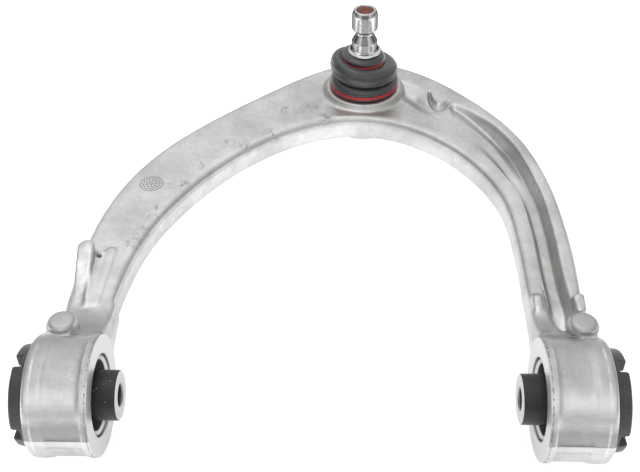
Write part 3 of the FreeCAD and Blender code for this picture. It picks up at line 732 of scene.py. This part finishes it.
# ---- materials -----------------------------------------------------------------------
class Nodes:
    """Short ways to build the node tree of a material or of the world."""

    def __init__(self, owner, space):
        owner.use_nodes = True
        self.tree = owner.node_tree
        self.tree.nodes.clear()
        self.place = self.add("TexCoord").outputs[space]

    def add(self, kind, **settings):
        node = self.tree.nodes.new("ShaderNode" + kind)
        for key, value in settings.items():
            setattr(node, key, value)
        return node

    def join(self, source, target):
        self.tree.links.new(source, target)

    def feed(self, target, value):
        if isinstance(value, bpy.types.NodeSocket):
            self.join(value, target)
        else:
            target.default_value = value

    def math(self, operation, a, b=0.0, c=0.0):
        node = self.add("Math", operation=operation)
        for socket, value in zip(node.inputs, (a, b, c)):
            self.feed(socket, value)
        return node.outputs[0]

    def times(self, a, b):
        return self.math("MULTIPLY", a, b)

    def highest(self, values):
        return functools.reduce(lambda a, b: self.math("MAXIMUM", a, b), values)

    def off(self, value, place):
        """How far a value is from a place, either way."""
        return self.math("ABSOLUTE", self.math("SUBTRACT", value, place))

    def radius(self, a, b):
        return self.math("SQRT", self.math("ADD", self.times(a, a), self.times(b, b)))

    def noise(self, size, detail=3.0, rough=0.5, place=None, distort=0.0):
        """Noise between 0 and 1 whose features are about the given size in metres."""
        node = self.add("TexNoise")
        self.join(place or self.place, node.inputs["Vector"])
        node.inputs["Scale"].default_value = 1 / size
        node.inputs["Detail"].default_value = detail
        node.inputs["Roughness"].default_value = rough
        node.inputs["Distortion"].default_value = distort
        return node.outputs["Fac"]

    def cells(self, size):
        """Distance from the middle of each scattered cell, as a share of the cells' size."""
        node = self.add("TexVoronoi")
        self.join(self.place, node.inputs["Vector"])
        node.inputs["Scale"].default_value = 1 / size
        return node.outputs["Distance"]

    def ramp(self, value, low, high, from_value=0.0, to_value=1.0):
        node = self.add("MapRange", interpolation_type="SMOOTHSTEP")
        for name, given in (("Value", value), ("From Min", low), ("From Max", high),
                            ("To Min", from_value), ("To Max", to_value)):
            self.feed(node.inputs[name], given)
        return node.outputs["Result"]

    def near(self, value, inner, outer):
        """1 up to the inner distance and 0 beyond the outer one."""
        return self.ramp(value, inner, outer, 1.0, 0.0)

    def mix(self, factor, a, b):
        """A blend of two colours; a single number stands for a grey."""
        node = self.add("Mix", data_type="RGBA")
        self.feed(node.inputs[0], factor)
        for socket, value in ((node.inputs[6], a), (node.inputs[7], b)):
            if isinstance(value, float):
                value = (value, value, value)
            if isinstance(value, tuple):
                value = (*value, 1.0)
            self.feed(socket, value)
        return node.outputs[2]

    def tint(self, tone, where, strength, colour):
        """The tone moved towards a colour, by the strength where the mask is 1."""
        return self.mix(self.times(where, strength), tone, colour)

    def stretch(self, scale):
        node = self.add("Mapping")
        self.join(self.place, node.inputs["Vector"])
        node.inputs["Scale"].default_value = scale
        return node.outputs["Vector"]

    def split(self):
        node = self.add("SeparateXYZ")
        self.join(self.place, node.inputs[0])
        return node.outputs

    def bump(self, height, distance, strength=1.0, under=None):
        node = self.add("Bump")
        node.inputs["Strength"].default_value = strength
        node.inputs["Distance"].default_value = distance
        self.join(height, node.inputs["Height"])
        if under is not None:
            self.join(under, node.inputs["Normal"])
        return node.outputs["Normal"]


class Surface(Nodes):
    """A material with one Principled shader, patterned in object coordinates."""

    def __init__(self, name):
        self.material = bpy.data.materials.new(name)
        super().__init__(self.material, "Object")
        self.shader = self.add("BsdfPrincipled")
        self.join(self.shader.outputs["BSDF"], self.add("OutputMaterial").inputs["Surface"])

    def finish(self, colour, roughness, normal=None, **plain):
        self.join(colour, self.shader.inputs["Base Color"])
        self.feed(self.shader.inputs["Roughness"], roughness)
        if normal is not None:
            self.join(normal, self.shader.inputs["Normal"])
        for name, value in plain.items():
            self.shader.inputs[name.replace("_", " ")].default_value = value
        return self.material


def forged_aluminium():
    """Shot-blasted forging skin: fine grain, cloudy tone, scuffs, dark specks, a dotted stamp, and the
    painted shade and painted highlights stored on the mesh.
    """
    n = Surface("forged_aluminium")
    blotch = n.noise(7 * MM, 5.0, 0.62)
    streak = n.ramp(n.noise(3.4 * MM, 5.0, 0.7, n.stretch((1, 0.3, 1))), 0.60, 0.72)
    painted_shading = n.add("Attribute", attribute_name="painted_shading").outputs["Fac"]
    marks = n.highest([stamp(n), n.times(smudges(n), 0.75)])
    tone = blasted_tone(n, blotch, streak)
    # painted shade where the stored value is above 0 and painted highlight where it is below 0
    tone = n.tint(tone, painted_shading, 0.58, (0.30, 0.30, 0.292))
    tone = n.tint(tone, painted_shading, -0.75, (0.90, 0.895, 0.875))
    tone = barrel_lines(n, tone, blotch)
    tone = n.tint(tone, marks, 0.85, (0.14, 0.14, 0.135))
    tone = n.tint(tone, parting_line(n), 0.6, 0.22)
    rough = n.math("MULTIPLY_ADD", blotch, 0.16, 0.31)
    rough = n.math("SUBTRACT", rough, n.times(streak, 0.06))
    rough = n.math("ADD", rough, n.times(painted_shading, 0.14))
    relief = n.bump(n.ramp(n.cells(1.3 * MM), 0.1, 0.6), 0.06 * MM, 0.5)
    relief = n.bump(n.noise(0.7 * MM, 3.0, 0.65), 0.12 * MM, 0.6, relief)
    relief = n.bump(blotch, 0.6 * MM, 0.4, relief)
    relief = n.bump(n.math("SUBTRACT", 1.0, marks), 0.15 * MM, 0.6, relief)
    return n.finish(tone, rough, relief, Metallic=1.0, Specular_Tint=(0.75, 0.75, 0.75, 1.0))


def blasted_tone(n, blotch, streak):
    """Clouds, streaks, scratches, specks and painted glints, with painted shade and oxide in the hollows
    and paler where proud.
    """
    tone = n.mix(n.ramp(n.noise(34 * MM), 0.34, 0.66), (0.555, 0.555, 0.545), (0.725, 0.725, 0.717))
    drift = n.ramp(n.noise(13 * MM, 4.0, 0.6, n.stretch((1, 0.7, 1)), 0.8), 0.42, 0.66)
    tone = n.tint(tone, drift, 0.30, (0.80, 0.80, 0.795))
    tone = n.tint(tone, n.ramp(blotch, 0.45, 0.78), 0.35, (0.44, 0.44, 0.43))
    tone = n.tint(tone, streak, 0.32, 0.78)
    patch = n.ramp(n.noise(22 * MM, 3.0, 0.6), 0.50, 0.62)
    scratch = n.ramp(n.noise(2.6 * MM, 6.0, 0.85, n.stretch((1.0, 0.4, 1.0)), 1.0), 0.57, 0.66)
    tone = n.tint(tone, n.times(scratch, patch), 0.42, (0.26, 0.26, 0.255))
    broken = n.ramp(n.noise(1.1 * MM, 3.0, 0.7), 0.45, 0.60)
    tone = n.tint(tone, n.times(n.near(n.cells(9.5 * MM), 0.03, 0.09), broken), 0.6, 0.18)
    mottle = n.ramp(n.noise(2.3 * MM, 4.0, 0.65, None, 0.6), 0.36, 0.64)
    tone = n.tint(tone, mottle, 0.16, (0.42, 0.42, 0.415))
    # painted glints: small bright flecks, in patches
    tone = n.tint(tone, n.times(n.near(n.cells(4.3 * MM), 0.07, 0.17), patch), 0.8, 0.95)
    hollow = n.add("Attribute", attribute_name="hollow").outputs["Fac"]
    # painted shade, with oxide, darkens the hollows; proud places turn a little paler
    tone = n.tint(tone, n.ramp(hollow, 0.54, 1.0), 0.36, (0.24, 0.237, 0.225))
    return n.tint(tone, n.ramp(hollow, 0.46, 0.20), 0.15, 0.80)


def barrel_lines(n, tone, blotch):
    """The die seam low on each barrel, painted highlights along its flange edges and a broken painted
    shadow line along its inner edge.
    """
    x, y, z = n.split()
    seam = n.near(n.off(z, SEAM_HEIGHT * MM), 0.15 * MM, 0.45 * MM)
    tone = n.tint(tone, n.times(seam, n.ramp(y, -24 * MM, -30 * MM)), 0.6, 0.16)
    across = n.math("ABSOLUTE", x)
    # painted highlights along the flange edges, on the front only
    for place, change in FLANGE_HIGHLIGHTS:
        flange_highlight = n.ramp(n.off(across, place * MM), 0.3 * MM, 0.9 * MM, change, 0.0)
        flange_highlight = n.times(flange_highlight, n.ramp(y, 14 * MM, 4 * MM))
        tone = n.mix(n.times(flange_highlight, n.ramp(blotch, 0.3, 0.6)), tone, 0.93)
    # painted shadow line beside each machined inner face, broken up by noise
    edge = n.near(n.off(across, (FACE_X + 1.1) * MM), 0.2 * MM, 0.6 * MM)
    edge = n.times(edge, n.ramp(y, 22 * MM, 10 * MM))
    broken_up = n.ramp(n.noise(1.8 * MM, 5.0, 0.75), 0.44, 0.56)
    return n.tint(tone, n.times(edge, broken_up), 0.75, 0.12)


def stamp(n):
    """Four rings of punched dots on the top of the -X leg."""
    x, y, z = n.split()
    dx = n.math("SUBTRACT", x, STAMP_PLACE[0] * MM)
    dy = n.math("SUBTRACT", y, STAMP_PLACE[1] * MM)
    away = n.radius(dx, dy)
    turn = n.math("ARCTAN2", dy, dx)
    rings = []
    for radius, count in ((7.7, 26), (5.6, 19), (3.4, 9), (1.3, 4)):
        dots = n.ramp(n.math("COSINE", n.times(turn, float(count))), -0.35, 0.2)
        rings.append(n.times(n.near(n.off(away, radius * MM), 0.45 * MM, 0.75 * MM), dots))
    return n.times(n.highest(rings), n.ramp(z, 8.5 * MM, 9.0 * MM))


def smudges(n):
    """Rubbed and scratched dark marks and small pits at set places on the top."""
    rough = n.ramp(n.noise(2.8 * MM, 6.0, 0.85, n.stretch((0.8, 0.45, 1.0)), 1.5), 0.52, 0.60)
    spots = []
    for x, y, reach in SMUDGES + [(x, y, PIT_REACH) for x, y in PITS]:
        gap = n.add("VectorMath", operation="DISTANCE")
        n.join(n.place, gap.inputs[0])
        gap.inputs[1].default_value = (x * MM, y * MM, 9.6 * MM)
        spot = n.near(gap.outputs["Value"], 0.3 * reach * MM, reach * MM)
        spots.append(n.times(spot, rough) if reach > PIT_REACH else spot)
    return n.highest(spots)


def parting_line(n):
    """Thin wavering line on the inner wall of the -X leg, under its top edge."""
    x, y, z = n.split()
    wander = n.math("MULTIPLY_ADD", n.noise(14 * MM), 2.0 * MM, 3.6 * MM)
    line = n.near(n.off(z, wander), 0.14 * MM, 0.34 * MM)
    return n.times(n.times(line, n.ramp(x, -60 * MM, -75 * MM)), n.ramp(y, 45 * MM, 55 * MM))


def machined_aluminium():
    """Faced and bored surfaces: brighter, with fine turning rings round the bush axis."""
    n = Surface("machined_aluminium")
    x, y, z = n.split()
    rings = n.add("CombineXYZ")
    n.join(n.radius(y, z), rings.inputs[0])
    n.join(x, rings.inputs[1])
    line = n.noise(0.32 * MM, 2.0, 0.5, rings.outputs[0])
    cloud = n.noise(9 * MM)
    tone = n.mix(cloud, (0.52, 0.53, 0.54), (0.60, 0.61, 0.62))
    tone = n.tint(tone, n.near(n.cells(8 * MM), 0.03, 0.06), 0.5, 0.3)
    rough = n.math("MULTIPLY_ADD", cloud, 0.14, 0.32)
    return n.finish(tone, rough, n.bump(line, 0.05 * MM, 0.5), Metallic=1.0)


def plain_metal(name, light, dark, roughness):
    """Ground, plated or pressed steel with fine grain and a cloudy tone."""
    n = Surface(name)
    cloud = n.noise(5 * MM, 4.0, 0.6)
    fine = n.noise(0.8 * MM, 3.0, 0.6)
    rough = n.math("MULTIPLY_ADD", cloud, 0.12, roughness)
    return n.finish(n.mix(cloud, dark, light), rough, n.bump(fine, 0.03 * MM, 0.4), Metallic=1.0)


def stud_steel():
    """Ground steel with painted reflections as lengthwise light and dark bands round its axis, a painted
    highlight on its flange and a rusty recess in its top.
    """
    n = Surface("stud_steel")
    x, y, z = n.split()
    dx = n.math("SUBTRACT", x, BALL.x)
    dy = n.math("SUBTRACT", y, BALL.y)
    away = n.radius(dx, dy)
    turn = n.math("ARCTAN2", dx, n.times(dy, -1.0))
    cloud = n.noise(2.5 * MM, 4.0, 0.6)
    swing = n.math("ABSOLUTE", n.math("ADD", turn, n.math("MULTIPLY_ADD", cloud, 0.24, -0.12)))
    # painted reflections: darker facing the front, a light band on either side, darker further round
    tone = n.mix(n.near(swing, 0.22, 0.40), 0.84, (0.27, 0.27, 0.275))
    tone = n.mix(n.ramp(swing, 0.62, 0.95), tone, 0.30)
    tone = n.mix(n.ramp(swing, 1.15, 1.35), tone, 0.12)
    # painted highlight on the wide flange; the ball, as wide, gets it too
    tone = n.tint(tone, n.ramp(away, 10.4 * MM, 11.2 * MM), 0.8, 0.85)
    tone = n.mix(n.ramp(z, 77.4 * MM, 77.9 * MM), tone, (0.58, 0.58, 0.57))
    rust = n.times(n.ramp(away, 6.5 * MM, 5.3 * MM), n.ramp(z, 74.8 * MM, 75.2 * MM))
    flakes = n.ramp(n.noise(1.3 * MM, 4.0, 0.7), 0.4, 0.65)
    tone = n.mix(rust, tone, n.mix(flakes, (0.30, 0.13, 0.10), (0.17, 0.06, 0.045)))
    lines = n.noise(0.30 * MM, 2.0, 0.5, n.stretch((0.05, 0.05, 1.0)))
    rough = n.math("MULTIPLY_ADD", cloud, 0.10, 0.17)
    rough = n.math("MULTIPLY_ADD", rust, 0.35, rough)
    n.join(n.math("MULTIPLY_ADD", rust, -0.8, 1.0), n.shader.inputs["Metallic"])
    return n.finish(tone, rough, n.bump(lines, 0.02 * MM, 0.3), Specular_Tint=(0.30, 0.30, 0.30, 1.0))


@functools.cache
def sleeve_black():
    """Satin black coating with a few dust specks."""
    n = Surface("sleeve_black")
    cloud = n.noise(4 * MM, 4.0, 0.6)
    tone = n.mix(cloud, (0.012, 0.012, 0.013), (0.022, 0.022, 0.023))
    dust = n.near(n.cells(3.1 * MM), 0.05, 0.10)
    tone = n.mix(n.times(dust, n.ramp(n.noise(8 * MM, 2.0), 0.40, 0.50)), tone, 0.55)
    tone = n.tint(tone, n.ramp(n.noise(1.2 * MM, 5.0, 0.75), 0.62, 0.75), 0.3, 0.12)
    rough = n.math("MULTIPLY_ADD", cloud, 0.15, 0.36)
    relief = n.bump(n.noise(0.5 * MM, 3.0, 0.6), 0.04 * MM, 0.4)
    return n.finish(tone, rough, relief, Specular_IOR_Level=0.5)


@functools.cache
def sleeve_bare():
    """Bare turned steel: rings on the ends and fine serrations in the bore, which is darker with painted
    reflection streaks along the serrations.
    """
    n = Surface("sleeve_bare")
    y, z = n.split()[1:]
    away = n.radius(y, z)
    inside = n.ramp(away, 6.9 * MM, 6.4 * MM)
    teeth = n.math("SINE", n.times(n.math("ARCTAN2", z, y), 34.0))
    rings = n.add("CombineXYZ")
    n.join(away, rings.inputs[0])
    line = n.noise(0.3 * MM, 2.0, 0.5, rings.outputs[0])
    tone = n.mix(n.noise(3 * MM, 4.0, 0.6), (0.36, 0.365, 0.37), (0.46, 0.465, 0.47))
    tone = n.tint(tone, n.ramp(away, 12.7 * MM, 13.1 * MM), 0.6, 0.7)
    # the bore darker, with painted reflection streaks that follow the serrations
    tone = n.mix(inside, tone, n.mix(n.ramp(teeth, -0.6, 0.6), 0.16, 0.30))
    relief = n.bump(n.times(teeth, inside), 0.12 * MM, 0.6)
    return n.finish(tone, 0.30, n.bump(line, 0.04 * MM, 0.5, relief), Metallic=1.0)


def rubber(name, tone, light, roughness, gloss=0.5):
    """Moulded rubber: fine pebble, dusty light patches."""
    n = Surface(name)
    cloud = n.noise(6 * MM, 5.0, 0.65)
    colour = n.mix(n.ramp(cloud, 0.35, 0.7), tone, light)
    dust = n.ramp(n.noise(2.2 * MM, 6.0, 0.75), 0.60, 0.78)
    colour = n.tint(colour, dust, 0.3, tuple(min(1.0, 2.6 * c) for c in light))
    rough = n.math("MULTIPLY_ADD", cloud, 0.15, roughness)
    relief = n.bump(n.noise(0.45 * MM, 3.0, 0.6), 0.05 * MM, 0.5)
    return n.finish(colour, rough, relief, Specular_IOR_Level=gloss, Sheen_Weight=0.30)


@functools.cache
def boot_rubber():
    return rubber("boot_rubber", (0.018, 0.021, 0.022), (0.034, 0.038, 0.040), 0.24, 0.8)


@functools.cache
def stop_rubber():
    return rubber("stop_rubber", (0.022, 0.024, 0.025), (0.042, 0.045, 0.047), 0.42, 0.6)


@functools.cache
def clamp_red():
    """Red coated spring wire, a little dusty."""
    n = Surface("clamp_red")
    cloud = n.noise(3.5 * MM, 4.0, 0.6)
    tone = n.mix(cloud, (0.42, 0.022, 0.026), (0.56, 0.040, 0.045))
    tone = n.tint(tone, n.ramp(n.noise(1.1 * MM, 5.0, 0.7), 0.60, 0.72), 0.35, (0.22, 0.02, 0.02))
    rough = n.math("MULTIPLY_ADD", cloud, 0.2, 0.30)
    return n.finish(tone, rough, n.bump(cloud, 0.1 * MM, 0.3), Specular_IOR_Level=0.5)


# ---- stage, light and camera ---------------------------------------------------------
FLOOR_REACH = 6.0
DIM_SKY = 0.46
# patches of sky: the middle, where each begins and is full, in degrees from it, and its change
SKY = [((0, 0, 1), 88, 50, 0.60), ((0, 0, 1), 42, 10, -0.14), ((0, -0.98, 0.20), 36, 14, -0.16),
       ((-1, 0, 0.62), 54, 18, -0.42), ((1, 0, 0.62), 54, 18, -0.34), ((0, -0.7, 0.7), 30, 12, 0.12)]
# the camera, worked out from the circles seen in the photo
CAMERA_PLACE = (0.01413, -0.3446, 0.4173)
PITCH, YAW, ROLL = (math.radians(angle) for angle in (41.0, 2.0, -1.0))
LENS = 54.56
SENSOR = 36.0


def make_floor():
    """Pale table just under the lowest point of the part, glowing a little less in front of it."""
    form = bmesh.new()
    bmesh.ops.create_grid(form, x_segments=2, y_segments=2, size=FLOOR_REACH)
    mesh = bpy.data.meshes.new("floor")
    form.to_mesh(mesh)
    form.free()
    floor = add_object("floor", mesh)
    floor.location = (0, 0.15, CAD_BOX[0][2] - 0.05 * MM)
    n = Surface("floor_paper")
    tone = n.mix(n.noise(0.3, 2.0), 0.93, 0.95)
    glow = n.ramp(n.split()[1], -0.12, -0.04, 0.52, 0.60)
    n.join(glow, n.shader.inputs["Emission Strength"])
    paper = n.finish(tone, 0.9, Specular_IOR_Level=0.1, Emission_Color=(1, 1, 1, 1))
    floor.data.materials.append(paper)


def make_light():
    """A soft studio dome: bright overhead, dim at both sides, with a light patch behind the camera."""
    world = bpy.data.worlds.new("studio")
    bpy.context.scene.world = world
    n = Nodes(world, "Generated")
    total = DIM_SKY
    for middle, begin, full, change in SKY:
        dot = n.add("VectorMath", operation="DOT_PRODUCT")
        dot.inputs[1].default_value = Vector(middle).normalized()
        n.join(n.place, dot.inputs[0])
        low, high = math.cos(math.radians(begin)), math.cos(math.radians(full))
        total = n.math("ADD", n.ramp(dot.outputs["Value"], low, high, 0.0, change), total)
    back = n.add("Background")
    back.inputs["Color"].default_value = (1, 1, 1, 1)
    n.join(total, back.inputs["Strength"])
    n.join(back.outputs[0], n.add("OutputWorld").inputs[0])
    add_lamp("overhead", (-0.3, 0.35, 1.8), (0, 0.15, 0), 1.2, 5)


def add_lamp(name, place, target, size, power):
    lamp = bpy.data.lights.new(name, "AREA")
    lamp.shape = "SQUARE"
    lamp.size = size
    lamp.energy = power
    item = add_object(name, lamp)
    item.location = place
    item.rotation_euler = (Vector(target) - Vector(place)).to_track_quat("-Z", "Y").to_euler()


def make_camera():
    """Looks down at the arm from in front of its bushes."""
    right = Vector((math.cos(YAW), math.sin(YAW), 0))
    level = Vector((-math.sin(YAW), math.cos(YAW), 0))
    ahead = level * math.cos(PITCH) - Vector(UP) * math.sin(PITCH)
    above = level * math.sin(PITCH) + Vector(UP) * math.cos(PITCH)
    side = right * math.cos(ROLL) + above * math.sin(ROLL)
    top = above * math.cos(ROLL) - right * math.sin(ROLL)
    lens = bpy.data.cameras.new("camera")
    lens.lens = LENS
    lens.sensor_width = SENSOR
    lens.clip_start = 0.01
    camera = add_object("camera", lens)
    turn = Matrix((side, top, -ahead)).transposed()
    camera.matrix_world = Matrix.Translation(CAMERA_PLACE) @ turn.to_4x4()
    bpy.context.scene.camera = camera


def dress(node, material):
    """Gives a CAD node its material."""
    item = frame["nodes"][node]
    item.data.materials.clear()
    item.data.materials.append(material)


def dress_cad_nodes():
    """Materials for the CAD nodes that are shown as they are."""
    black = rubber("bush_rubber", (0.016, 0.017, 0.018), (0.030, 0.031, 0.032), 0.45)
    can = plain_metal("can_steel", (0.60, 0.61, 0.62), (0.48, 0.49, 0.50), 0.38)
    insert = plain_metal("insert_steel", 0.5, 0.4, 0.4)
    seat = rubber("seat_plastic", (0.7, 0.7, 0.66), (0.8, 0.8, 0.76), 0.4)
    for side in ("front", "rear"):
        dress(side + "_bush_can", can)
        dress(side + "_bush_rubber", black)
        dress(side + "_bush_interleaf", insert)
    dress("ball_seat", seat)
    dress("seat_preload_ring", black)
    dress("closing_cap", can)
    dress("boot_support_ring", insert)
    dress("boot_upper_ring", clamp_red())


bpy.context.scene.view_settings.view_transform = "Standard"
make_camera()
make_light()
make_floor()
make_arm()
make_boot()
make_lower_ring()
make_stud()
for side, name in ((1, "front"), (-1, "rear")):
    make_sleeve(side, name)
    make_end_stop(name)
dress_cad_nodes()
